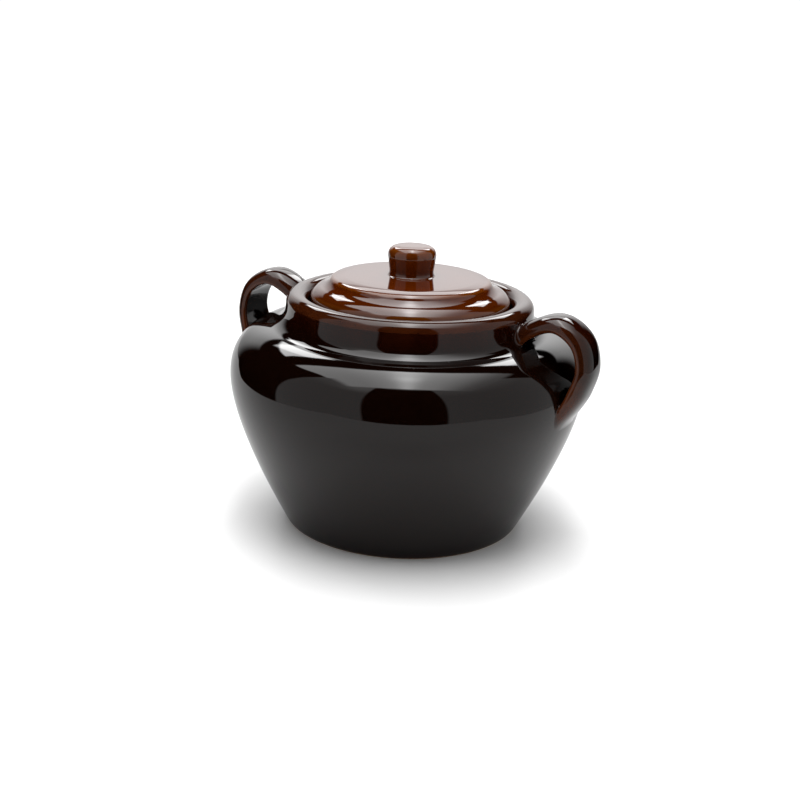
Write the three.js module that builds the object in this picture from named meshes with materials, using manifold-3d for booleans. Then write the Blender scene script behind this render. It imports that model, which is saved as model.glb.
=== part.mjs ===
// Glazed stoneware fermenting crock: round belly, upright collar holding a water
// channel, two strap handles, a domed lid with a knob, and two half-moon weights.
// Millimetres. The origin is the centre of the foot, +Z is up, the handles lie on X.

import * as THREE from 'three';
import { mergeVertices } from 'three/addons/utils/BufferGeometryUtils.js';
import Module from 'manifold-3d';

const wasm = await Module();
wasm.setup();

const GAP = 0.3; // clearance left between neighbouring pieces
const TURNS = 48; // facets round the crock and the lid

// Crock, outside
const FOOT_R = 83.3;
const FOOT_RING_R = 73; // inner edge of the ring it stands on
const RECESS = 3; // hollow under the floor
const BELLY_R = 122;
const BELLY_Z = 104.3;
const NECK_R = 95; // where the shoulder meets the collar's fillet
const NECK_Z = 137.7;
const RIM_R = 84.5;
const RIM_Z = 160.4;
const LIP = 7.7; // how far the rolled lip reaches in from the collar's outside
const LIP_Z = 153.4; // height where the lip's roll starts

// Crock, inside
const FLOOR_Z = 11;
const INNER_R = 113.5;
const CHANNEL_OUT_R = 69.8; // water channel between the collar and the inner neck
const CHANNEL_IN_R = 60.5;
const CHANNEL_Z = 141;
const MOUTH_R = 52.5;
const MOUTH_Z = 156;

// Handles
const STRAP_EDGE = 0.16; // rounding of the strap's inner edges, as a share of its thickness

// Lid and knob
const LID_R = 67.9;
const LID_WALL = 5;
const LID_TOP_Z = 173;
const NOTCH_R = 4; // gas notches in the skirt's lower edge
const KNOB_R = 16.4;
const KNOB_TOP_Z = 193.8;

// Weights
const STONE_R = 49;
const STONE_T = 16;
const STONE_SPLIT = 6; // space between the two flat sides
const STONE_HOLE_R = 8;
const STONE_EDGE = 1.5;

const point = (r, z) => new THREE.Vector2(r, z);

// Points after the first on a quadratic curve.
const bend = (from, pull, to, steps) =>
  new THREE.QuadraticBezierCurve(from, pull, to).getPoints(steps).slice(1);

// Points on a quarter of an ellipse about (r, z), from angle a to angle b in degrees.
function arc(r, z, rx, rz, a, b, steps) {
  return Array.from({ length: steps + 1 }, (_, i) => {
    const t = THREE.MathUtils.degToRad(a + ((b - a) * i) / steps);
    return point(r + rx * Math.cos(t), z + rz * Math.sin(t));
  });
}

// Turns an outline of (radius, height) points about the Z axis.
function turned(outline, turns = TURNS) {
  const geometry = new THREE.LatheGeometry(outline, turns);
  return geometry.rotateX(Math.PI / 2);
}

// Belly, shoulder and collar as seen from outside, from the foot to under the rim.
function outerWall() {
  const foot = point(FOOT_R, 1.5);
  const widest = point(BELLY_R, BELLY_Z);
  const neck = point(NECK_R, NECK_Z);
  return [
    foot,
    ...bend(foot, point(BELLY_R, 73.7), widest, 7),
    ...bend(widest, point(BELLY_R, 131.6), neck, 6),
    ...bend(neck, point(86, 139.8), point(84.9, 149.5), 4),
  ];
}

function innerWall() {
  const ceiling = point(62, 132.5);
  const shoulder = point(88, 130.5);
  const widest = point(INNER_R, 104);
  const heel = point(82.5, 18);
  return [
    point(MOUTH_R, 142),
    ...bend(point(MOUTH_R, 142), point(MOUTH_R, 133.3), ceiling, 3),
    shoulder,
    ...bend(shoulder, point(INNER_R, 126.5), widest, 5),
    ...bend(widest, point(INNER_R, 72), heel, 5),
    ...bend(heel, point(79, FLOOR_Z), point(68, FLOOR_Z), 2),
  ];
}

function crockBody() {
  const neckTop = (CHANNEL_IN_R + MOUTH_R) / 2;
  const neckHalf = (CHANNEL_IN_R - MOUTH_R) / 2;
  return turned([
    point(0, RECESS),
    point(FOOT_RING_R - 2.5, RECESS),
    point(FOOT_RING_R, 0),
    point(FOOT_R - 1.5, 0),
    ...outerWall(),
    ...arc(RIM_R - LIP, LIP_Z, LIP, RIM_Z - LIP_Z, 0, 90, 4),
    ...arc(RIM_R - LIP, LIP_Z, RIM_R - LIP - CHANNEL_OUT_R, RIM_Z - LIP_Z, 90, 180, 4).slice(1),
    point(CHANNEL_OUT_R, CHANNEL_Z + 1.5),
    point(CHANNEL_OUT_R - 1.5, CHANNEL_Z),
    point(CHANNEL_IN_R + 1.5, CHANNEL_Z),
    point(CHANNEL_IN_R, CHANNEL_Z + 1.5),
    ...arc(neckTop, MOUTH_Z - neckHalf, neckHalf, neckHalf, 0, 180, 4),
    ...innerWall(),
    point(0, FLOOR_Z),
  ]);
}

// The crock's outside grown by the gap, used to trim the handles' roots.
function trimmer() {
  const wall = outerWall().map(({ x, y }) => point(x + GAP, y));
  return turned([
    point(0, 1),
    ...wall,
    point(RIM_R + GAP, LIP_Z),
    point(RIM_R + GAP, RIM_Z + 10),
    point(0, RIM_Z + 10),
  ]);
}

function toSolid(geometry) {
  const bare = geometry.clone();
  bare.deleteAttribute('normal');
  bare.deleteAttribute('uv');
  const merged = mergeVertices(bare, 1e-4);
  return new wasm.Manifold(new wasm.Mesh({
    numProp: 3,
    vertProperties: new Float32Array(merged.attributes.position.array),
    triVerts: new Uint32Array(merged.index.array),
  }));
}

function fromSolid(solid) {
  const { vertProperties, triVerts } = solid.getMesh();
  const geometry = new THREE.BufferGeometry();
  geometry.setAttribute('position', new THREE.BufferAttribute(vertProperties, 3));
  geometry.setIndex(new THREE.BufferAttribute(triVerts, 1));
  return geometry;
}

// Strap outline in shares of its half width and thickness: a flat inner face with
// eased edges and a crowned outer face.
function strapSection() {
  const crown = Array.from({ length: 9 }, (_, i) => {
    const t = (Math.PI * i) / 8;
    return [Math.cos(t), STRAP_EDGE + (1 - STRAP_EDGE) * Math.sin(t)];
  });
  return [[-0.89, 0], [0.89, 0], ...crown];
}

// The value at u on straight lines between [u, value] pairs.
function along(pairs, u) {
  const i = Math.max(1, pairs.findIndex(([at]) => at >= u));
  const [[u0, v0], [u1, v1]] = [pairs[i - 1], pairs[i]];
  return THREE.MathUtils.lerp(v0, v1, (u - u0) / (u1 - u0));
}

// Half width and thickness along the strap: it flares and flattens into the belly.
const strapHalf = (u) => along([[0, 12.2], [0.16, 12.2], [0.34, 14.2], [0.58, 14.5],
  [0.68, 16], [0.78, 18.2], [0.88, 19.5], [1, 20]], u);
const strapThick = (u) => along([[0, 11.2], [0.16, 10.8], [0.36, 10], [0.66, 10],
  [0.75, 9.7], [0.81, 8.8], [0.9, 7.3], [1, 6.2]], u);

// The strap swept along its inner face, in the XZ plane on the +X side.
function strap() {
  const path = new THREE.CatmullRomCurve3(
    [[78, 130], [86.5, 138.2], [97.7, 147.8], [111, 152.6], [123.6, 145.2], [128, 131],
      [124.8, 117], [120.5, 106], [115.5, 96], [110, 86]].map(([x, z]) => new THREE.Vector3(x, 0, z)),
    false, 'centripetal');
  const steps = 22;
  const section = strapSection();
  const count = section.length;
  const across = new THREE.Vector3(0, 1, 0);
  const vertices = [];
  const faces = [];
  for (let i = 0; i <= steps; i += 1) {
    const at = path.getPointAt(i / steps);
    const outward = path.getTangentAt(i / steps).cross(across);
    for (const [w, h] of section) {
      const corner = at.clone().addScaledVector(outward, h * strapThick(i / steps));
      vertices.push(...corner.addScaledVector(across, w * strapHalf(i / steps)));
    }
  }
  for (let i = 0; i < steps; i += 1) {
    for (let k = 0; k < count; k += 1) {
      const [a, b] = [i * count + k, i * count + ((k + 1) % count)];
      faces.push(a, b, a + count, b, b + count, a + count);
    }
  }
  const last = steps * count;
  for (let k = 1; k < count - 1; k += 1) {
    faces.push(0, k + 1, k, last, last + k, last + k + 1);
  }
  const geometry = new THREE.BufferGeometry();
  geometry.setAttribute('position', new THREE.Float32BufferAttribute(vertices, 3));
  geometry.setIndex(faces);
  return geometry;
}

function handle(side) {
  const trimmed = toSolid(strap()).subtract(toSolid(trimmer()));
  const geometry = fromSolid(trimmed);
  return side > 0 ? geometry : geometry.rotateZ(Math.PI);
}

// The lid: a nearly flat top, a step down to a sloping brim, and an upright skirt.
function lidShell() {
  const under = LID_R - LID_WALL;
  const skirtZ = CHANNEL_Z + GAP;
  const down = (r, drop) => point(r, LID_TOP_Z - drop);
  return turned([
    down(0, LID_WALL),
    down(42, 5.8),
    down(49.5, 7.4),
    down(53, 10.4),
    down(57, 12.8),
    down(60.5, 14.8),
    down(under, 18.5),
    point(under, skirtZ + 1),
    point(under + 1, skirtZ),
    point(LID_R - 1, skirtZ),
    point(LID_R, skirtZ + 1),
    down(LID_R, 16.8),
    down(67.5, 14.8),
    down(66.5, 12.8),
    down(64.5, 10.9),
    down(61.6, 9.2),
    down(60, 8.4),
    down(57.6, 6.9),
    down(55.8, 5.2),
    down(54.5, 3.4),
    down(52.4, 1.8),
    down(50.2, 1.15),
    down(45, 0.7),
    down(30, 0.2),
    point(0, LID_TOP_Z),
  ]);
}

// The lid, with a half-round gas notch in the skirt at the front and at the back.
function lid() {
  const drill = new THREE.CylinderGeometry(NOTCH_R, NOTCH_R, 3 * LID_R, 20);
  drill.translate(0, 0, CHANNEL_Z + GAP);
  return fromSolid(toSolid(lidShell()).subtract(toSolid(drill)));
}

function lidKnob() {
  const base = LID_TOP_Z + GAP;
  return turned([
    point(0, base),
    point(KNOB_R, base),
    point(KNOB_R - 1.2, base + 0.8),
    point(KNOB_R - 1.4, base + 2.5),
    point(KNOB_R - 0.4, base + 8.5),
    ...arc(KNOB_R - 5.6, KNOB_TOP_Z - 7.2, 5.6, 6.4, 0, 80, 6),
    point(0, KNOB_TOP_Z),
  ], 32);
}

// A half-moon weight on the +X side, with a hole to lift it by.
function weightStone(side) {
  const r = STONE_R - STONE_EDGE;
  const flat = STONE_SPLIT / 2 + STONE_EDGE;
  const corner = Math.acos(flat / r);
  const outline = new THREE.Shape();
  outline.absarc(0, 0, r, -corner, corner, false);
  outline.closePath();
  const hole = new THREE.Path();
  hole.absarc(STONE_R / 2 - 1, 0, STONE_HOLE_R + STONE_EDGE, 0, 2 * Math.PI, true);
  outline.holes.push(hole);
  const geometry = new THREE.ExtrudeGeometry(outline, {
    depth: STONE_T - 2 * STONE_EDGE,
    bevelThickness: STONE_EDGE,
    bevelSize: STONE_EDGE,
    bevelSegments: 1,
    curveSegments: 24,
  });
  geometry.translate(0, 0, FLOOR_Z + GAP + STONE_EDGE);
  return side > 0 ? geometry : geometry.rotateZ(Math.PI);
}

const GLAZE = { color: 0x1f0d08, roughness: 0.12 };
const AMBER_GLAZE = { color: 0x5a220b, roughness: 0.12 };
const BARE_CLAY = { color: 0xb9a88f, roughness: 0.85 };

const pieces = [
  ['crock_body', crockBody(), GLAZE],
  ['handle_left', handle(-1), GLAZE],
  ['handle_right', handle(1), GLAZE],
  ['lid', lid(), AMBER_GLAZE],
  ['lid_knob', lidKnob(), AMBER_GLAZE],
  ['weight_stone_left', weightStone(-1), BARE_CLAY],
  ['weight_stone_right', weightStone(1), BARE_CLAY],
];

const crock = new THREE.Group();
for (const [name, geometry, look] of pieces) {
  const mesh = new THREE.Mesh(geometry, new THREE.MeshStandardMaterial(look));
  mesh.name = name;
  crock.add(mesh);
}

export default crock;
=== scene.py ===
import math

import bpy
import numpy as np
from mathutils import Matrix, Vector


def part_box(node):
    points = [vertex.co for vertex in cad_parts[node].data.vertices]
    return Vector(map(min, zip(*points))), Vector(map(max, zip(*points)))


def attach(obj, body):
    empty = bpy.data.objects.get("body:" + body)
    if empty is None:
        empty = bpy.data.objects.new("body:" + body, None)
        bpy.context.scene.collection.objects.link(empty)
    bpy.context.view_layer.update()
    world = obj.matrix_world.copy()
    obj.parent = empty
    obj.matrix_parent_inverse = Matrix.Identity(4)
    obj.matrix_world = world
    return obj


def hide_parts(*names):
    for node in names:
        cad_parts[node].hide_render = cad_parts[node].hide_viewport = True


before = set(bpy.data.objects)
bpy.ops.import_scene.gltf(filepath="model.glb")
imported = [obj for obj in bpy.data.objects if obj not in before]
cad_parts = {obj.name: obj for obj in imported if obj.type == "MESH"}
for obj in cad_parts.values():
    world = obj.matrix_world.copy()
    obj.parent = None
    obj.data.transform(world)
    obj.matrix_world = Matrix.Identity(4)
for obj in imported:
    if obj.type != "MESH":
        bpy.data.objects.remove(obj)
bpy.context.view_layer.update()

scene = bpy.context.scene
MM = 0.001

# Sizes in millimetres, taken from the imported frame
crock_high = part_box("crock_body")[1]
lid_low, lid_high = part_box("lid")
knob_low, knob_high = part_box("lid_knob")
stone_low, stone_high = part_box("weight_stone_right")
BELLY_R = crock_high.x / MM
RIM_Z = crock_high.z / MM
LID_R = lid_high.x / MM
LID_TOP = lid_high.z / MM
SKIRT_Z = lid_low.z / MM
KNOB_BASE = knob_low.z / MM
KNOB_TOP = knob_high.z / MM
STONE_R = stone_high.x / MM
STONE_Z0, STONE_Z1 = stone_low.z / MM, stone_high.z / MM
STONE_FLAT = stone_low.x / MM

# Crock profile: radius and height
FOOT_R, FOOT_Z = 83.3, 1.6                    # outer edge of the foot, above its rounding
FOOT_RING_R, RECESS = 73.0, 3.0               # the ring it stands on, and the hollow inside it
HIP_Z, BELLY_Z, SHOULDER_Z = 73.7, 104.3, 131.6    # the belly swells, is widest, and turns in
NECK_R, NECK_Z = 95.0, 137.7                  # where the shoulder meets the collar
COLLAR_R, COLLAR_Z = 84.9, 149.5              # the collar's waist, under the lip
RIM_R, RIM_ROLL_Z = 84.5, 153.4               # the lip's roll starts here, outside and inside
LIP = 7.7                                     # from the rim's outside to its crest
CHANNEL_OUT_R, CHANNEL_IN_R, CHANNEL_Z = 69.8, 60.5, 141.0
CHANNEL_WALL_Z, CHANNEL_ROUND = 148, 2.6      # its walls are upright up to here; rounding of its floor
MOUTH_R, MOUTH_Z = 52.5, 156.0
WALL_T, FLOOR_Z = 8.5, 11.0
TURNS = 288                                   # points round the crock


# ---------------------------------------------------------------- outlines

def bezier(a, b, c, n=24):
    """Points after the first on a quadratic curve."""
    t = np.linspace(0, 1, n + 1)[1:, None]
    a, b, c = (np.array(p, float) for p in (a, b, c))
    return ((1 - t) ** 2 * a + 2 * t * (1 - t) * b + t * t * c).tolist()


def arc(r, z, rx, rz, start, end, n=16):
    t = np.radians(np.linspace(start, end, n + 1))
    return np.stack([r + rx * np.cos(t), z + rz * np.sin(t)], 1).tolist()


def eased(corners, n=8):
    """A polyline whose corners (r, z, reach) are rounded over that reach."""
    out = []
    for i, (r, z, reach) in enumerate(corners):
        p = np.array([r, z], float)
        if reach == 0 or i in (0, len(corners) - 1):
            out.append(p.tolist())
            continue
        ends = []
        for q in (corners[i - 1], corners[i + 1]):
            d = np.array(q[:2], float) - p
            ends.append(p + d / np.linalg.norm(d) * reach)
        out += [ends[0].tolist()] + bezier(ends[0], p, ends[1], n)
    return out


def spline(points, step):
    """Catmull-Rom (centripetal) curve through points, in steps of about `step`."""
    p = np.array(points, float)
    p = np.vstack([2 * p[0] - p[1], p, 2 * p[-1] - p[-2]])
    out = []
    for i in range(1, len(p) - 2):
        t = [0.0]
        for k in range(3):
            t.append(t[-1] + np.linalg.norm(p[i + k] - p[i + k - 1]) ** 0.5)
        n = max(2, int(round(np.linalg.norm(p[i + 1] - p[i]) / step)))
        for s in np.linspace(t[1], t[2], n, endpoint=False):
            a = [((t[k + 1] - s) * p[i - 1 + k] + (s - t[k]) * p[i + k]) / (t[k + 1] - t[k])
                 for k in range(3)]
            b = [((t[k + 2] - s) * a[k] + (s - t[k]) * a[k + 1]) / (t[k + 2] - t[k])
                 for k in range(2)]
            out.append(((t[2] - s) * b[0] + (s - t[1]) * b[1]) / (t[2] - t[1]))
    out.append(p[-2])
    return [q.tolist() for q in out]


def even(points, step):
    """The same outline with points at most `step` apart and no repeats."""
    out = [points[0]]
    for q in points[1:]:
        a, b = np.array(out[-1], float), np.array(q, float)
        d = np.linalg.norm(b - a)
        if d < 1e-4:
            continue
        n = max(1, math.ceil(d / step))
        out += [(a + (b - a) * k / n).tolist() for k in range(1, n + 1)]
    return np.array(out)


def thinness(line, low=0.05, high=0.28, window=1.6):
    """How much the glaze thins over convex bends of an outline, 0 to 1."""
    d = np.diff(line, axis=0)
    s = np.r_[0, np.cumsum(np.hypot(*d.T))]
    heading = np.unwrap(np.arctan2(d[:, 1], d[:, 0]))
    mid = (s[1:] + s[:-1]) / 2
    turn = np.interp(s + window / 2, mid, heading) - np.interp(s - window / 2, mid, heading)
    return np.clip((turn / window - low) / (high - low), 0, 1)


# ---------------------------------------------------------------- meshes

def add_mesh(name, points, faces, **attributes):
    """A smooth mesh from millimetre points; each attribute is one number per point."""
    mesh = bpy.data.meshes.new(name)
    mesh.from_pydata((np.asarray(points) * MM).tolist(), [], faces)
    for key, values in attributes.items():
        mesh.attributes.new(key, "FLOAT", "POINT").data.foreach_set(
            "value", np.asarray(values, np.float32))
    mesh.polygons.foreach_set("use_smooth", [True] * len(mesh.polygons))
    mesh.update()
    obj = bpy.data.objects.new(name, mesh)
    scene.collection.objects.link(obj)
    return obj


def turned(name, line, angles, bare=None, shape=None):
    """Turns an outline that starts and ends on the axis; the outside is on its right."""
    line = np.asarray(line)
    ring, n = line[1:-1], len(angles)
    pts = np.stack([np.outer(ring[:, 0], np.cos(angles)), np.outer(ring[:, 0], np.sin(angles)),
                    np.repeat(ring[:, 1:], n, 1)], -1)
    if shape:
        pts = shape(pts)
    pts = np.vstack([[[0, 0, line[0, 1]]], pts.reshape(-1, 3), [[0, 0, line[-1, 1]]]])
    last = len(pts) - 1
    faces = []
    for k in range(n):
        m = (k + 1) % n
        faces.append((0, 1 + m, 1 + k))
        faces.append((last, last - n + k, last - n + m))
        for i in range(len(ring) - 1):
            a, b = 1 + i * n, 1 + (i + 1) * n
            faces.append((a + k, a + m, b + m, b + k))
    per_ring = thinness(line)
    thin = np.r_[per_ring[0], np.repeat(per_ring[1:-1], n), per_ring[-1]]
    rings = np.zeros(len(line)) if bare is None else bare(line)
    clay = np.r_[rings[0], np.repeat(rings[1:-1], n), rings[-1]]
    return add_mesh(name, pts, faces, thin=thin, bare=clay)


def ring_faces(n, count, closed=False):
    """Quads between `count` rings of n points; closed joins the last ring to the first."""
    faces = []
    for i in range(count if closed else count - 1):
        here, there = i * n, (i + 1) % count * n
        for k in range(n):
            after = (k + 1) % n
            faces.append((here + k, there + k, there + after, here + after))
    return faces


def about_z(turn):
    """Matrix of a turn about the crock's axis."""
    c, s = math.cos(turn), math.sin(turn)
    return np.array([[c, -s, 0], [s, c, 0], [0, 0, 1]])


# ---------------------------------------------------------------- crock

def outer_wall():
    """The crock's outside, from the foot up to the crest of the rim."""
    foot, widest, neck = (FOOT_R, FOOT_Z), (BELLY_R, BELLY_Z), (NECK_R, NECK_Z)
    collar, roll = (COLLAR_R, COLLAR_Z), (RIM_R, RIM_ROLL_Z)
    neck_bend, collar_bend = (86, 139.76), (84.54, 152.7)
    return [list(foot)] + bezier(foot, (BELLY_R, HIP_Z), widest, 70) \
        + bezier(widest, (BELLY_R, SHOULDER_Z), neck, 56) \
        + bezier(neck, neck_bend, collar, 26) \
        + bezier(collar, collar_bend, roll, 8) \
        + arc(RIM_R - LIP, RIM_ROLL_Z, LIP, RIM_Z - RIM_ROLL_Z, 0, 90, 28)[1:]


def underside():
    """Recess, standing ring and foot, from the axis outwards."""
    return [[0, RECESS]] \
        + eased([(60, RECESS, 0), (70.5, RECESS, 1.5), (FOOT_RING_R, 0, 1.4), (FOOT_R - 1.2, 0, 1.0),
                 (FOOT_R, FOOT_Z, 0)])[:-1]


def channel_and_mouth():
    """The rim's inside, the water channel, and the inner neck over to the mouth."""
    neck_mid, neck_half = (CHANNEL_IN_R + MOUTH_R) / 2, (CHANNEL_IN_R - MOUTH_R) / 2
    return arc(RIM_R - LIP, RIM_ROLL_Z, RIM_R - LIP - CHANNEL_OUT_R, RIM_Z - RIM_ROLL_Z, 90, 180, 22) \
        + eased([(CHANNEL_OUT_R, CHANNEL_WALL_Z, 0), (CHANNEL_OUT_R, CHANNEL_Z, CHANNEL_ROUND),
                 (CHANNEL_IN_R, CHANNEL_Z, CHANNEL_ROUND), (CHANNEL_IN_R, CHANNEL_WALL_Z, 0)]) \
        + arc(neck_mid, MOUTH_Z - neck_half, neck_half, neck_half, 0, 180, 20)


def inner_wall():
    """The inside, from under the mouth down to the middle of the floor."""
    inner = BELLY_R - WALL_T
    under_mouth, shoulder = (62, 132.5), (88, 130.5)
    widest, low, floor = (inner, 104), (82.5, 18), (68, FLOOR_Z)
    return [[MOUTH_R, 142]] + bezier((MOUTH_R, 142), (MOUTH_R, 133.3), under_mouth, 14) \
        + bezier(under_mouth, (76, 131.6), shoulder, 8) \
        + bezier(shoulder, (inner, 126.5), widest, 24) \
        + bezier(widest, (inner, 72), low, 30) \
        + bezier(low, (79, FLOOR_Z), floor, 12) + [[0, FLOOR_Z]]


def unglazed_foot(line):
    """The ring it stands on and the hollow under it are bare clay."""
    under = (line[:, 1] < RECESS + 0.2) & (line[:, 0] < FOOT_R + 1)
    return np.where(under, np.clip((FOOT_R - 0.2 - line[:, 0]) / 0.9, 0, 1), 0.0)


crock_line = underside() + outer_wall() + channel_and_mouth() + inner_wall()
full_turn = np.linspace(0, 2 * math.pi, TURNS, endpoint=False)
crock = turned("crock", even(crock_line, 2.5), full_turn, unglazed_foot)


# ---------------------------------------------------------------- handles

WALL = even(outer_wall(), 1.0)
SECTION, LENGTH, FILLET = 72, 110, 10    # points round the strap, rings along it and in each fillet
STRAP_HALF, STRAP_T = 14.2, 10.0         # typical half width and thickness, for spacing the outline
STRAP_FLAT, STRAP_EDGE = 0.84, 0.2       # share of the half width that is flat; of the thickness, rounded
# Radius and height of the strap's inner face, from its root in the collar to its tail on the belly
STRAP_PATH = [(78, 130), (86.5, 138.2), (97.7, 147.8), (111, 152.6), (123.6, 145.2),
              (128, 131), (124.8, 117), (120.5, 106), (115.5, 96), (110, 86)]
# Half width and thickness against the share of the way along
STRAP_HALVES = ([0, 0.16, 0.34, 0.58, 0.68, 0.78, 0.88, 1],
                [12.2, 12.2, 14.2, 14.5, 16.0, 18.2, 19.5, 20.0])
STRAP_THICKS = ([0, 0.16, 0.36, 0.66, 0.75, 0.81, 0.9, 1],
                [11.2, 10.8, 10.0, 10.0, 9.7, 8.8, 7.3, 6.2])


def wall_distance(points):
    """Signed distance from the crock's outer wall, and the wall's normal there."""
    points = np.asarray(points, float)
    r = np.hypot(points[:, 0], points[:, 1])
    flat = np.stack([r, points[:, 2]], 1)
    a, d = WALL[:-1], np.diff(WALL, axis=0)
    length = np.hypot(*d.T)
    best = np.full(len(flat), 1e9)
    normal = np.zeros((len(flat), 2))
    side = np.ones(len(flat))
    edge_n = np.stack([d[:, 1], -d[:, 0]], 1) / length[:, None]
    corner_n = np.vstack([edge_n[:1], edge_n[:-1] + edge_n[1:], edge_n[-1:]])
    corner_n /= np.linalg.norm(corner_n, axis=1)[:, None]
    for i in range(len(a)):
        t = np.clip(((flat - a[i]) @ d[i]) / length[i] ** 2, 0, 1)
        off = flat - (a[i] + t[:, None] * d[i])
        dist = np.hypot(*off.T)
        m = dist < best
        best[m] = dist[m]
        n = corner_n[i] * (1 - t[m])[:, None] + corner_n[i + 1] * t[m][:, None]
        normal[m] = n
        side[m] = np.where((off[m] * n).sum(1) < 0, -1, 1)
    normal /= np.linalg.norm(normal, axis=1)[:, None]
    unit = points[:, :2] / np.maximum(r, 1e-9)[:, None]
    out = np.stack([normal[:, 0] * unit[:, 0], normal[:, 0] * unit[:, 1], normal[:, 1]], 1)
    return best * side, out


def on_wall(points, lift):
    """Moves points to `lift` millimetres above the crock's outer wall, and gives the normals there."""
    p = np.array(points, float)
    for _ in range(3):
        dist, n = wall_distance(p)
        p -= n * (dist - lift)[:, None]
    return p, wall_distance(p)[1]


def smoothed(values, reach=20):
    """A running average whose weights fall off to nothing at `reach` steps."""
    kernel = np.hanning(2 * reach + 1)
    return np.convolve(np.pad(values, reach, "edge"), kernel / kernel.sum(), "valid")


def strap_section():
    """Outline of the strap across: flat inner face, eased edges, boxy crowned back.
    Gives (across, outward, thinness) with across in half widths and outward in thicknesses."""
    inner = [(w, 0.0) for w in np.linspace(-STRAP_FLAT, STRAP_FLAT, 15)]
    right = [(STRAP_FLAT + (1 - STRAP_FLAT) * math.sin(t), STRAP_EDGE * (1 - math.cos(t)))
             for t in np.linspace(0, math.pi / 2, 9)[1:]]
    crown = []
    for t in np.linspace(0, math.pi, 200)[1:-1]:
        c, s = math.cos(t), math.sin(t)
        crown.append((math.copysign(abs(c) ** (2 / 2.7), c),
                      STRAP_EDGE + (1 - STRAP_EDGE) * s ** (2 / 2.1)))
    left = [(-w, h) for w, h in reversed(right)]
    loop = np.array(inner + right + crown + left + [inner[0]])
    size = loop * [STRAP_HALF, STRAP_T]
    s = np.r_[0, np.cumsum(np.hypot(*np.diff(size, axis=0).T))]
    turn = thinness(np.vstack([size[-8:-1], size, size[1:8]]), 0.06, 0.36, 3.2)[7:-7]
    # closer together where the outline bends
    at = np.linspace(0, s[-1], 4 * SECTION, endpoint=False)
    dense = np.r_[0, np.cumsum(1 + 2.5 * np.interp(at, s, turn))]
    at = np.interp(np.linspace(0, dense[-1], SECTION, endpoint=False), dense, np.r_[at, s[-1]])
    return [np.interp(at, s, v) for v in (loop[:, 0], loop[:, 1], turn)]


def strap_rails(across, out):
    """One line of points along the strap for each place round it, kept clear of the wall.
    Also where each line enters the wall at its two ends, and how far its fillets reach."""
    path = np.array(spline(STRAP_PATH, 0.4))
    step = np.gradient(path, axis=0)
    tangent = step / np.linalg.norm(step, axis=1)[:, None]
    outward = np.stack([-tangent[:, 1], tangent[:, 0]], 1)
    s = np.r_[0, np.cumsum(np.hypot(*np.diff(path, axis=0).T))]
    half, thick = (smoothed(np.interp(s / s[-1], *table)) for table in (STRAP_HALVES, STRAP_THICKS))
    rails, corners, reach = [], [], []
    for w, h in zip(across, out):
        rail = np.stack([path[:, 0] + outward[:, 0] * h * thick, w * half,
                         path[:, 1] + outward[:, 1] * h * thick], 1)
        d, _ = wall_distance(rail)
        middle = len(d) // 2
        side = min(1.0, h / 0.35)            # 0 on the inner face, 1 on the strap's back
        root, tail = 1.8 + 2.2 * side, 1.7 + 0.9 * side
        first = middle - np.argmax(d[middle::-1] < root)
        last = middle + np.argmax(d[middle:] < tail)
        enters = middle - np.argmax(d[middle::-1] < 0)
        leaves = middle + np.argmax(d[middle:] < 0)
        at = np.linspace(s[first], s[last], LENGTH)
        rails.append(np.stack([np.interp(at, s, rail[:, j]) for j in range(3)], 1))
        corners.append((rail[enters], rail[leaves]))
        reach.append((root, tail))
    return np.array(rails).transpose(1, 0, 2), np.array(corners).transpose(1, 0, 2), np.array(reach).T


def fillet(start, corner, reach):
    """Rings from the strap's end, round the fillet, along the wall and into it."""
    corner, n = on_wall(corner, 0)
    loop = np.roll(corner, -1, 0) - np.roll(corner, 1, 0)
    away = np.cross(loop, n)
    away /= np.linalg.norm(away, axis=1)[:, None]
    away *= np.sign((away * (corner - corner.mean(0))).sum(1))[:, None]
    for _ in range(12):
        away = away + 0.5 * (np.roll(away, 1, 0) + np.roll(away, -1, 0))
        away -= n * (away * n).sum(1)[:, None]
        away /= np.linalg.norm(away, axis=1)[:, None]
    rings = []
    for t in np.linspace(0, 1, FILLET + 1)[1:]:
        foot, foot_n = on_wall(corner + away * (reach * t / (2 - t))[:, None], -0.03 * t)
        rings.append((1 - t) ** 2 * start + (1 - (1 - t) ** 2) * foot)
    sunk, _ = on_wall(foot + away * 2.0, -2.6)
    return rings + [sunk], foot_n


def handle(name, turn):
    across, out, thin = strap_section()
    rails, corners, reach = strap_rails(across, out)
    root, root_n = fillet(rails[0], corners[0], reach[0])
    tail, tail_n = fillet(rails[-1], corners[1], reach[1])
    rings = root[::-1] + list(rails) + tail
    pts = np.vstack(rings + [rings[0].mean(0)[None], rings[-1].mean(0)[None]])
    n, count = SECTION, len(rings)
    faces = ring_faces(n, count)
    faces += [(count * n, k, (k + 1) % n) for k in range(n)]
    faces += [(count * n + 1, (count - 1) * n + (k + 1) % n, (count - 1) * n + k) for k in range(n)]
    # the glaze thins on the strap's edges, over a wider band towards the tail, and not on the wall
    ends = FILLET + 1
    fade = np.ones(count)
    fade[:ends] = np.linspace(-0.4, 1, ends).clip(0, 1)
    fade[-ends:] = np.linspace(1, 0, ends)
    wider = 1 - 0.6 * np.clip((np.arange(count) / count - 0.5) / 0.3, 0, 1)
    thin = fade[:, None] * thin ** wider[:, None]
    # where a fillet ends it takes the wall's own normals, so that no edge shows
    normals = np.zeros((len(pts), 3))
    for row, value in ((1, root_n), (count - 2, tail_n)):
        normals[row * n:(row + 1) * n] = value
    spin = about_z(turn)
    obj = add_mesh(name, pts @ spin.T, faces, thin=np.r_[thin.ravel(), 0, 0], bare=np.zeros(len(pts)))
    obj.data.normals_split_custom_set_from_vertices((normals @ spin.T).tolist())
    return obj


handle_right = handle("handle_right_strap", 0.0)
handle_left = handle("handle_left_strap", math.pi)


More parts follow.
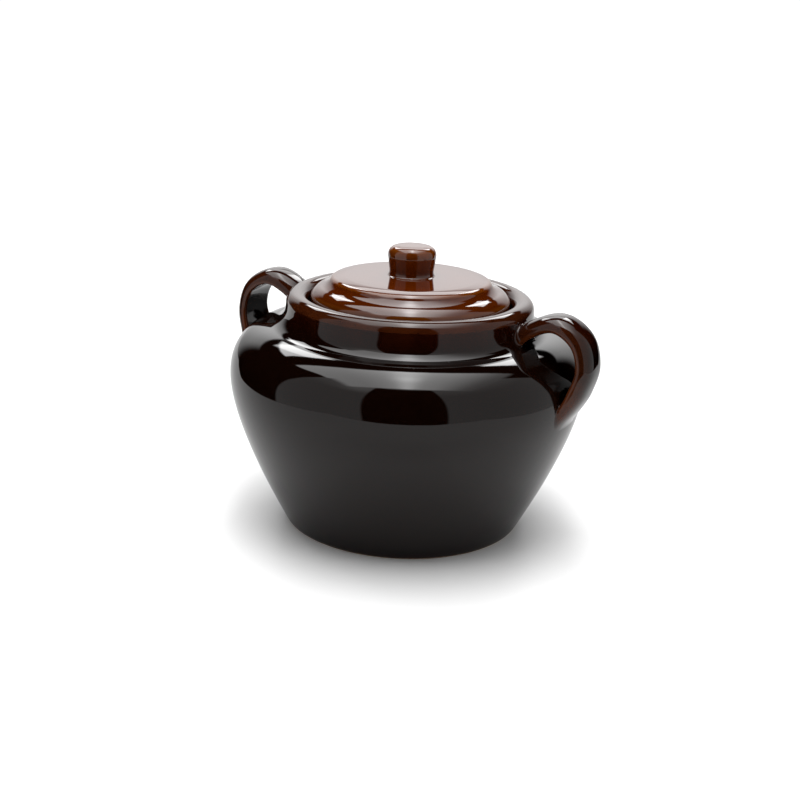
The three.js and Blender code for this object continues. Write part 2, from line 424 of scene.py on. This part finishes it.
# ---------------------------------------------------------------- lid and knob

LID_WALL = 5.0
NOTCH_R = 4.0                        # half-round gas notches in the skirt's lower edge
BRIM_R, BRIM_DROP = 45.5, 0.65       # where the nearly flat top starts to bend down to the brim
# Slope in degrees against millimetres along the outline from there: a step, a hollow, a roll
BRIM_SLOPE = (
    [0, 1.0, 6.0, 7.3, 9.5, 10.3, 10.8, 11.4, 14.2, 16.9, 17.6, 18.3, 21.2, 24.5, 27.3, 28.7, 29.4],
    [5.5, 8, 14.5, 25, 50, 56, 56, 50, 36, 25, 22.5, 25, 36, 50, 78, 89, 90])


def brim():
    """The outline from the flat top out to the skirt, by following its slope."""
    step = 0.1
    at = np.arange(0, BRIM_SLOPE[0][-1], step)
    slope = np.radians(np.interp(at + step / 2, *BRIM_SLOPE))
    out = np.r_[0, np.cumsum(np.cos(slope) * step)]
    out *= (LID_R - BRIM_R) / out[-1]
    drop = np.r_[0, np.cumsum(np.sin(slope) * step)]
    return np.stack([BRIM_R + out, LID_TOP - BRIM_DROP - drop], 1)[::3].tolist()


def down(*drops):
    """Points (radius, millimetres below the lid's top) as (radius, height)."""
    return [(r, LID_TOP - drop) for r, drop in drops]


def lid_outline():
    under = LID_R - LID_WALL
    inside = spline(down((14, LID_WALL), (42, 5.8), (49.5, 7.4), (53, 10.4), (57, 12.8), (60.5, 14.8),
                         (under, 18.5)), 0.8)
    skirt = eased([(under, SKIRT_Z + 8, 0), (under, SKIRT_Z, 1.6), (LID_R, SKIRT_Z, 1.6),
                   (LID_R, SKIRT_Z + 8, 0)])
    top = spline(down((0, 0), (16.4, 0.05), (30, 0.2), (38, 0.34), (42, 0.46), (BRIM_R, BRIM_DROP)), 0.6)
    outside = top + brim()[1:] + [list(p) for p in down((LID_R, 17.5))]
    return [[0, LID_TOP - LID_WALL]] + inside + skirt + outside[::-1]


def notched(pts):
    """Pulls the skirt's lower edge up over the two half-round gas notches."""
    side = np.abs(pts[..., 0])
    lift = np.sqrt(np.clip(NOTCH_R ** 2 - side ** 2, 0, None))
    high = NOTCH_R + 3.0
    share = np.clip((SKIRT_Z + high - pts[..., 2]) / high, 0, 1)
    out = pts.copy()
    out[..., 2] += np.where(pts[..., 2] < SKIRT_Z + high, lift * share, 0)
    return out


def lid_angles():
    """Even turns, closer together across the notches on +Y and -Y."""
    reach = math.asin(NOTCH_R / (LID_R - LID_WALL)) * 1.02
    close = reach * np.sin(np.linspace(-math.pi / 2, math.pi / 2, 25))
    plain = np.linspace(math.pi / 2 + reach, 1.5 * math.pi - reach, 140)[1:-1]
    half = np.r_[math.pi / 2 + close, plain]
    return np.r_[half, half + math.pi]


def unglazed_edge(line):
    """The skirt's lower edge is bare clay."""
    return np.clip((SKIRT_Z + 1.2 - line[:, 1]) / 0.8, 0, 1)


def knob_outline():
    base = KNOB_BASE - 0.5
    side = spline([(17.4, base), (16.6, base + 0.2), (15.7, base + 0.7), (15.1, base + 1.7),
                   (15.0, base + 3.2), (15.5, base + 7.0), (16.1, KNOB_TOP - 9.6),
                   (16.4, KNOB_TOP - 7.4), (16.2, KNOB_TOP - 5.2), (15.3, KNOB_TOP - 3.1),
                   (13.6, KNOB_TOP - 1.6), (11.2, KNOB_TOP - 0.75), (7, KNOB_TOP - 0.25),
                   (0, KNOB_TOP)], 0.35)
    return [[0, base - 0.5], [17.0, base - 0.5]] + side


lid = turned("lid_shell", even(lid_outline(), 2.5), lid_angles(), unglazed_edge, notched)
knob = turned("lid_knob_turned", even(knob_outline(), 1.2),
              np.linspace(0, 2 * math.pi, TURNS // 2, endpoint=False))


# ---------------------------------------------------------------- weights

HOLE_R, STONE_EDGE, STONE_TURNS = 8.0, 1.5, 240     # lifting hole, rounding of edges, points round
STONE_CENTRE = STONE_R / 2 - 1                      # the hole's place on X


def half_moon(inset, corner=4.0):
    """Outline of a half-moon stone drawn in by `inset`, as a closed dense polyline."""
    r, flat = STONE_R - inset, STONE_FLAT + inset
    c = max(corner - inset, 0.3)
    cx = flat + c
    cy = math.sqrt((r - c) ** 2 - cx ** 2)
    meet = math.atan2(cy, cx)
    pts = [(r * math.cos(t), r * math.sin(t)) for t in np.linspace(-meet, meet, 200)]
    pts += [(cx + c * math.cos(t), cy + c * math.sin(t)) for t in np.linspace(meet, math.pi, 40)]
    pts += [(flat, y) for y in np.linspace(cy, -cy, 202)[1:-1]]
    pts += [(cx + c * math.cos(t), -cy + c * math.sin(t))
            for t in np.linspace(math.pi, 2 * math.pi - meet, 40)]
    return np.array(pts)


def stone(name, turn):
    """A half-moon with rounded edges and a hole, as rings of points seen from the hole's centre."""
    theta = np.linspace(-math.pi, math.pi, STONE_TURNS, endpoint=False)
    inner_height = STONE_Z1 - STONE_Z0 - 2 * STONE_EDGE

    def moon(inset):
        p = half_moon(inset) - [STONE_CENTRE, 0]
        angle, dist = np.arctan2(p[:, 1], p[:, 0]), np.hypot(*p.T)
        order = np.argsort(angle)
        return np.interp(theta, angle[order], dist[order], period=2 * math.pi)

    def circle(inset):
        return np.full(STONE_TURNS, HOLE_R + inset)

    def side(radius, heights):
        """The top edge's rounding, the upright side, and the bottom edge's rounding."""
        edge = []
        for t in np.linspace(0, math.pi / 2, 7):
            edge.append((radius(STONE_EDGE * (1 - math.sin(t))), STONE_Z1 - STONE_EDGE * (1 - math.cos(t))))
        upright = [(radius(0), z) for z in heights]
        low = [(r, STONE_Z0 + STONE_Z1 - z) for r, z in reversed(edge)]
        return edge + upright + low

    def face(a, b, z, n=8):
        return [(a + (b - a) * k / n, z) for k in range(1, n)]

    levels = [STONE_Z1 - STONE_EDGE - k * inner_height / 5 for k in range(1, 5)]
    outside, hole = side(moon, levels), side(circle, levels)[::-1]
    loop = outside + face(outside[-1][0], hole[0][0], STONE_Z0) + hole \
        + face(hole[-1][0], outside[0][0], STONE_Z1)
    pts = np.vstack([np.stack([STONE_CENTRE + r * np.cos(theta), r * np.sin(theta),
                               np.full(STONE_TURNS, z)], 1) for r, z in loop])
    return add_mesh(name, pts @ about_z(turn).T, ring_faces(STONE_TURNS, len(loop), closed=True))


stone_right = stone("weight_right_stone", 0.0)
stone_left = stone("weight_left_stone", math.pi)


# ---------------------------------------------------------------- node helpers

def sum_of(operation, swapped=False):
    """An operator of Value that adds one math node."""
    def apply(self, other):
        pair = (other, self) if swapped else (self, other)
        return maths(self.tree, operation, *pair)
    return apply


class Value:
    """A socket that can be used in sums, to keep the node graphs readable."""

    def __init__(self, tree, socket):
        self.tree, self.socket = tree, socket

    __add__ = sum_of("ADD")
    __radd__ = sum_of("ADD", swapped=True)
    __sub__ = sum_of("SUBTRACT")
    __rsub__ = sum_of("SUBTRACT", swapped=True)
    __mul__ = sum_of("MULTIPLY")
    __rmul__ = sum_of("MULTIPLY", swapped=True)
    __truediv__ = sum_of("DIVIDE")


def plug(tree, socket, value):
    if isinstance(value, Value):
        tree.links.new(value.socket, socket)
    elif value is not None:
        socket.default_value = value


def maths(tree, operation, *args):
    node = tree.nodes.new("ShaderNodeMath")
    node.operation = operation
    for socket, value in zip(node.inputs, args):
        plug(tree, socket, value)
    return Value(tree, node.outputs[0])


def ramp(value, low, high, out_low=0.0, out_high=1.0):
    """Smooth step of value from low to high."""
    node = value.tree.nodes.new("ShaderNodeMapRange")
    node.interpolation_type = "SMOOTHSTEP"
    for socket, v in zip(node.inputs[:5], (value, low, high, out_low, out_high)):
        plug(value.tree, socket, v)
    return Value(value.tree, node.outputs[0])


def mix_colour(factor, a, b):
    node = factor.tree.nodes.new("ShaderNodeMix")
    node.data_type = "RGBA"
    for socket, v in zip([node.inputs[0], node.inputs[6], node.inputs[7]], (factor, a, b)):
        plug(factor.tree, socket, (*v, 1.0) if isinstance(v, tuple) and len(v) == 3 else v)
    return Value(factor.tree, node.outputs[2])


def stretch(tree, vector, scale):
    node = tree.nodes.new("ShaderNodeVectorMath")
    node.operation = "MULTIPLY"
    plug(tree, node.inputs[0], vector)
    node.inputs[1].default_value = scale
    return Value(tree, node.outputs[0])


def noise(tree, vector, scale, detail=2.0, rough=0.5):
    node = tree.nodes.new("ShaderNodeTexNoise")
    plug(tree, node.inputs["Vector"], vector)
    node.inputs["Scale"].default_value = scale
    node.inputs["Detail"].default_value = detail
    node.inputs["Roughness"].default_value = rough
    return Value(tree, node.outputs[0])


def dots(tree, vector, scale, radius):
    """1 inside sparse small spots, 0 elsewhere; radius is in cells."""
    node = tree.nodes.new("ShaderNodeTexVoronoi")
    plug(tree, node.inputs["Vector"], vector)
    node.inputs["Scale"].default_value = scale
    pick = tree.nodes.new("ShaderNodeSeparateColor")
    tree.links.new(node.outputs["Color"], pick.inputs[0])
    chosen = maths(tree, "GREATER_THAN", Value(tree, pick.outputs[0]), 0.72)
    near = Value(tree, node.outputs["Distance"])
    return ramp(near, radius, radius * 0.45) * chosen


def attribute(tree, name):
    node = tree.nodes.new("ShaderNodeAttribute")
    node.attribute_name = name
    return Value(tree, node.outputs["Fac"])


def bump(tree, height, distance, normal=None):
    node = tree.nodes.new("ShaderNodeBump")
    node.inputs["Strength"].default_value = 1.0
    node.inputs["Distance"].default_value = distance
    plug(tree, node.inputs["Height"], height)
    plug(tree, node.inputs["Normal"], normal)
    return Value(tree, node.outputs[0])


def new_material(name):
    material = bpy.data.materials.new(name)
    material.use_nodes = True
    tree = material.node_tree
    tree.nodes.clear()
    output = tree.nodes.new("ShaderNodeOutputMaterial")
    shader = tree.nodes.new("ShaderNodeBsdfPrincipled")
    tree.links.new(shader.outputs[0], output.inputs["Surface"])
    place = tree.nodes.new("ShaderNodeTexCoord")
    return material, tree, shader, Value(tree, place.outputs["Object"])


def height_of(tree, vector):
    node = tree.nodes.new("ShaderNodeSeparateXYZ")
    plug(tree, node.inputs[0], vector)
    return Value(tree, node.outputs[2])


# ---------------------------------------------------------------- materials

def clay_look(tree, place):
    """Colour, roughness and height of bare stoneware: buff, grogged, iron-specked."""
    blotch = ramp(noise(tree, place, 42, 4), 0.35, 0.65)
    grain = noise(tree, place, 900, 3, 0.6)
    iron = dots(tree, place, 330, 0.34)
    colour = mix_colour(blotch, (0.40, 0.31, 0.22), (0.31, 0.23, 0.155))
    colour = mix_colour(ramp(grain, 0.3, 0.7) * 0.5, colour, (0.50, 0.41, 0.31))
    colour = mix_colour(iron * 0.8, colour, (0.075, 0.035, 0.018))
    return colour, 0.78 + 0.12 * grain, grain + iron * 0.5


def glaze_colour(tree, place, deep, warm, thin_colour, warm_from, warm_to, pooling):
    """Deep where thick, warm between two heights and up, with runs, pools, thin edges and specks."""
    lift = ramp(height_of(tree, place), warm_from, warm_to)
    runs = noise(tree, stretch(tree, place, (1.0, 1.0, 0.3)), 70, 4)
    pools = ramp(noise(tree, place, 26, 3), 0.3, 0.7)
    thin = attribute(tree, "thin") * ramp(noise(tree, place, 60, 3), 0.2, 0.75, 0.55, 1.1)
    run_colour = tuple(0.55 * w + 0.45 * t for w, t in zip(warm, thin_colour))
    colour = mix_colour(lift, deep, warm)
    colour = mix_colour(ramp(runs, 0.45, 0.72) * lift * 0.35, colour, run_colour)
    colour = mix_colour(pools * pooling, colour, deep)
    colour = mix_colour(thin, colour, thin_colour)
    return mix_colour(dots(tree, place, 260, 0.2) * 0.6, colour, tuple(0.25 * d for d in deep))


def glaze(name, deep, warm, thin_colour, warm_from, warm_to, pooling, ior):
    """A poured glossy glaze, which stops in a ragged line where the clay is left bare."""
    material, tree, shader, place = new_material(name)
    colour = glaze_colour(tree, place, deep, warm, thin_colour, warm_from, warm_to, pooling)
    bare = ramp(attribute(tree, "bare") + (noise(tree, place, 160, 3) - 0.5) * 0.5, 0.35, 0.6)
    clay, clay_rough, clay_height = clay_look(tree, place)
    gloss = 0.018 + 0.03 * noise(tree, place, 35, 3) * ramp(noise(tree, place, 300, 2), 0.3, 0.7, 0.6, 1.2)
    plug(tree, shader.inputs["Base Color"], mix_colour(bare, colour, clay))
    plug(tree, shader.inputs["Roughness"], gloss * (1 - bare) + clay_rough * bare)
    shader.inputs["IOR"].default_value = ior
    throwing_rings = noise(tree, stretch(tree, place, (0.15, 0.15, 1.0)), 110, 2)
    finger_lines = noise(tree, stretch(tree, place, (0.05, 0.05, 1.0)), 280, 1)
    pinholes = dots(tree, place, 150, 0.05) * -1.0
    normal = None
    for height, metres in ((noise(tree, place, 30, 2), 0.0001), (throwing_rings, 0.00002),
                           (finger_lines, 0.000012), (noise(tree, place, 420, 2), 0.000004),
                           (pinholes, 0.00004), (clay_height * bare, 0.00012)):
        normal = bump(tree, height, metres, normal)
    plug(tree, shader.inputs["Normal"], normal)
    return material


def stoneware(name):
    material, tree, shader, place = new_material(name)
    colour, rough, height = clay_look(tree, place)
    plug(tree, shader.inputs["Base Color"], colour)
    plug(tree, shader.inputs["Roughness"], rough)
    normal = bump(tree, noise(tree, place, 55, 3), 0.0009)
    plug(tree, shader.inputs["Normal"], bump(tree, height, 0.00022, normal))
    return material


dark_glaze = glaze("dark_glaze", deep=(0.0032, 0.0009, 0.0004), warm=(0.015, 0.0019, 0.0004),
                   thin_colour=(0.068, 0.0155, 0.0034), warm_from=0.138, warm_to=0.156,
                   pooling=0.6, ior=1.42)
amber_glaze = glaze("amber_glaze", deep=(0.044, 0.0058, 0.0002), warm=(0.086, 0.0135, 0.0004),
                    thin_colour=(0.15, 0.038, 0.003), warm_from=0.150, warm_to=0.188,
                    pooling=0.3, ior=1.58)
bare_stoneware = stoneware("bare_stoneware")


# ---------------------------------------------------------------- pieces on their bodies

for piece, body, node, slot, material in (
        (crock, "crock", "crock_body", "dark_glaze", dark_glaze),
        (handle_left, "crock", "handle_left", "dark_glaze", dark_glaze),
        (handle_right, "crock", "handle_right", "dark_glaze", dark_glaze),
        (lid, "lid", "lid", "amber_glaze", amber_glaze),
        (knob, "lid", "lid_knob", "amber_glaze", amber_glaze),
        (stone_left, "left_weight", "weight_stone_left", "bare_stoneware", bare_stoneware),
        (stone_right, "right_weight", "weight_stone_right", "bare_stoneware", bare_stoneware)):
    piece.data.materials.append(material)
    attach(piece, body)
    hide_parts(node)


# ---------------------------------------------------------------- studio

LOOK_AZIMUTH = 0.5006                  # the camera stands this far round from -Y towards +X
TABLE_EDGE = 0.60                      # where the table ends in front and at the sides
SPLAY_FROM, TABLE_SPLAY = 0.35, 0.8    # behind this its sides spread, by this share of the way back
FLOOR_HALF = 3.0
SENSOR_WIDTH, LENS_SHARE = 36.0, 1.60105    # focal length as a share of the sensor's width

# Where the lights are, in degrees round from the camera, positive to the right, and up
FRONT_LEFT, FRONT_RIGHT = -88, 112
GAP = {"left": -27, "right": 26, "low": -30, "high": 64, "corner": 3, "soft": 1.2}
LAMP_OUTER, LAMP_INNER, LAMP_FOOT, LAMP_TOP = 141, 163, 27, 46
CLOTH_SIDE, CLOTH_TOP = (138, 152), 44
BAR_SIDE, BAR_LOW, BAR_TOP = (152, 155), 30, 44.5
# The softbox, on a plane one unit above the pot: where its light has gone and where it is full
BOX_LEFT, BOX_RIGHT, BOX_BACK, BOX_FRONT = -0.64, (0.72, 0.60), (-0.53, -0.47), (0.47, 0.38)
# How bright they are
LAMP_GLOW, BAR_GLOW, BOX_GLOW, BEHIND_POT = 6.0, 3.6, 3.7, 1.05


def camera_axes(tree, vector):
    """Splits a direction or place into right, towards-camera and up as the camera sees it."""
    node = tree.nodes.new("ShaderNodeSeparateXYZ")
    plug(tree, node.inputs[0], vector)
    x, y, z = (Value(tree, o) for o in node.outputs)
    c, s = math.cos(LOOK_AZIMUTH), math.sin(LOOK_AZIMUTH)
    return x * c + y * s, x * s - y * c, z


def band(value, low, high, soft_low, soft_high=None):
    """1 between low and high, falling softly to 0 outside them."""
    soft_high = soft_high or soft_low
    return ramp(value, low - soft_low, low + soft_low) * ramp(value, high + soft_high, high - soft_high)


def bell(value, centre, width):
    away = (value - centre) / width
    return maths(value.tree, "EXPONENT", away * away * -1.0)


def panel(az, el, left, right, low, high, corner, soft):
    """A soft-edged rounded rectangle of light, in degrees round and above the pot."""
    tree = az.tree
    over = []
    for value, a, b in ((az, left, right), (el, low, high)):
        away = maths(tree, "ABSOLUTE", value - (a + b) / 2)
        over.append(maths(tree, "MAXIMUM", away - ((b - a) / 2 - corner), 0.0))
    far = maths(tree, "SQRT", over[0] * over[0] + over[1] * over[1])
    return ramp(far, corner + soft, corner - soft)


def front_wall(az, el):
    """The panel in front of the pot, a little brighter at its upper left."""
    plain = 0.66 + ramp(el, 42, 60) * 0.30 - ramp(az, 0, 70) * 0.05
    upper_left = bell(az, -42, 18) * ramp(el, 42, 56) * 0.6
    return band(az, FRONT_LEFT, FRONT_RIGHT, 1.2) * plain + upper_left


def camera_gap(az, el):
    """The dark gap in the front panel that the camera stands in. Its left side leans."""
    lean = el * 0.07 * ramp(az, 10, -10)
    return panel(az + lean, el, **GAP)


def softbox(right, front, up):
    """Shape and brightness of the box overhead, with a bright line from its front to its back."""
    top = maths(up.tree, "MAXIMUM", up, 0.05)
    across, along = right / top, front / top
    left_edge = BOX_LEFT + ramp(along, 0.02, -0.5) * -0.14
    shape = ramp(across - left_edge, -0.02, 0.03) * ramp(across, *BOX_RIGHT)
    shape = shape * ramp(along, *BOX_BACK) * ramp(along, *BOX_FRONT) * ramp(up, 0.3, 0.4)
    cut_corner = ramp(along, 0.02, 0.06) * ramp(across, -0.50, -0.64)
    middle = bell(across, 0.0, 0.075) * (4.0 + 2.4 * bell(along, -0.1, 0.13))
    glow = BOX_GLOW + 1.3 * ramp(across, -0.35, -0.05) - 3.9 * ramp(across, 0.05, 0.62)
    return shape * (1 - cut_corner), glow + middle


def lamps(behind, el):
    """Two lamps that stand to either side behind the pot, each a leaning four-sided patch."""
    outwards = LAMP_INNER - behind
    over_foot = ramp(el - LAMP_FOOT - outwards * 0.6, -0.8, 0.8)
    under_top = ramp(LAMP_TOP - outwards * 0.25 - el, -0.8, 0.8)
    return band(behind, LAMP_OUTER, LAMP_INNER, 0.8) * over_foot * under_top * LAMP_GLOW


def backdrop(behind, el):
    """The cloth behind the pot, brighter higher up and in the middle, with a bright bar on top."""
    upper_corners = ramp(el, 24, 26) * ramp(behind, 166, 164)
    cloth = ramp(behind, *CLOTH_SIDE) * band(el, -90, CLOTH_TOP, 1, 3) * (1 - upper_corners)
    crease = band(el, 26, 31, 1.0)
    cloth = cloth * (1 - 0.4 * crease) * (1.0 + ramp(el, 0, 22) * 1.05)
    cloth = cloth * (0.55 + ramp(behind, 150, 168) * 0.45)
    bar = ramp(behind, *BAR_SIDE) * band(el, BAR_LOW, BAR_TOP, 0.8)
    return cloth * (1 - bar) + bar * BAR_GLOW


def background(tree, strength):
    node = tree.nodes.new("ShaderNodeBackground")
    node.inputs["Color"].default_value = (1, 1, 1, 1)
    plug(tree, node.inputs["Strength"], strength)
    return node.outputs[0]


def mix_shaders(tree, factor, first, second, output):
    node = tree.nodes.new("ShaderNodeMixShader")
    plug(tree, node.inputs[0], factor)
    tree.links.new(first, node.inputs[1])
    tree.links.new(second, node.inputs[2])
    tree.links.new(node.outputs[0], output.inputs["Surface"])


def studio_light():
    """The lights as the pot mirrors them; the camera sees plain white behind it."""
    world = bpy.data.worlds.new("studio")
    scene.world = world
    world.use_nodes = True
    tree = world.node_tree
    tree.nodes.clear()
    place = tree.nodes.new("ShaderNodeTexCoord")
    right, front, up = camera_axes(tree, Value(tree, place.outputs["Generated"]))
    az = maths(tree, "ARCTAN2", right, front) * math.degrees(1)
    el = maths(tree, "ARCSINE", up) * math.degrees(1)
    behind = maths(tree, "ABSOLUTE", az)
    box, glow = softbox(right, front, up)
    total = front_wall(az, el) * (1 - camera_gap(az, el)) * (1 - box) + box * glow \
        + backdrop(behind, el) + lamps(behind, el)
    path = tree.nodes.new("ShaderNodeLightPath")
    output = tree.nodes.new("ShaderNodeOutputWorld")
    mix_shaders(tree, Value(tree, path.outputs["Is Camera Ray"]),
                background(tree, total), background(tree, BEHIND_POT), output)


def studio_floor():
    """A pale table top. Reflections see it end at the table's edge; the camera doesn't."""
    corners = [(-FLOOR_HALF, -FLOOR_HALF, 0), (FLOOR_HALF, -FLOOR_HALF, 0),
               (FLOOR_HALF, FLOOR_HALF, 0), (-FLOOR_HALF, FLOOR_HALF, 0)]
    mesh = bpy.data.meshes.new("floor")
    mesh.from_pydata(corners, [], [(0, 1, 2, 3)])
    floor = bpy.data.objects.new("floor", mesh)
    scene.collection.objects.link(floor)
    material, tree, shader, place = new_material("pale_floor")
    path = tree.nodes.new("ShaderNodeLightPath")
    glossy = Value(tree, path.outputs["Is Glossy Ray"])
    tone = (0.86 + 0.02 * noise(tree, place, 40, 3)) * (1 - 0.36 * glossy)
    grey = tree.nodes.new("ShaderNodeCombineColor")
    for socket in grey.inputs[:3]:
        plug(tree, socket, tone)
    tree.links.new(grey.outputs[0], shader.inputs["Base Color"])
    shader.inputs["Roughness"].default_value = 0.8
    shader.inputs["Specular IOR Level"].default_value = 0.1
    right, front, _ = camera_axes(tree, place)
    spread = TABLE_SPLAY * maths(tree, "MAXIMUM", -1.0 * front - SPLAY_FROM, 0.0)
    beyond = maths(tree, "MAXIMUM", front, maths(tree, "ABSOLUTE", right) - spread)
    geometry = tree.nodes.new("ShaderNodeNewGeometry")
    below = Value(tree, geometry.outputs["Backfacing"])
    gone = maths(tree, "MAXIMUM", glossy * ramp(beyond, TABLE_EDGE - 0.01, TABLE_EDGE + 0.01), below)
    clear = tree.nodes.new("ShaderNodeBsdfTransparent")
    output = next(n for n in tree.nodes if n.type == "OUTPUT_MATERIAL")
    mix_shaders(tree, gone, shader.outputs[0], clear.outputs[0], output)
    mesh.materials.append(material)


def camera():
    """800 x 800 view from a little above, 29 degrees round to the right."""
    distance, height = 0.8523, 0.3603
    pitch, yaw, roll = 0.31412, -0.00503, 0.04027
    data = bpy.data.cameras.new("camera")
    data.sensor_width = SENSOR_WIDTH
    data.lens = SENSOR_WIDTH * LENS_SHARE
    data.clip_start, data.clip_end = 0.01, 50.0
    cam = bpy.data.objects.new("camera", data)
    scene.collection.objects.link(cam)
    spin = Matrix.Rotation(LOOK_AZIMUTH, 3, "Z")
    forward = Vector((math.sin(yaw) * math.cos(pitch), math.cos(yaw) * math.cos(pitch), -math.sin(pitch)))
    right = Vector((math.cos(yaw), -math.sin(yaw), 0))
    up = right.cross(forward)
    x_axis = right * math.cos(roll) + up * math.sin(roll)
    y_axis = up * math.cos(roll) - right * math.sin(roll)
    basis = Matrix((spin @ x_axis, spin @ y_axis, spin @ -forward)).transposed()
    cam.matrix_world = Matrix.Translation(spin @ Vector((0, -distance, height))) @ basis.to_4x4()
    scene.camera = cam


studio_light()
studio_floor()
camera()
scene.view_settings.view_transform = "Standard"
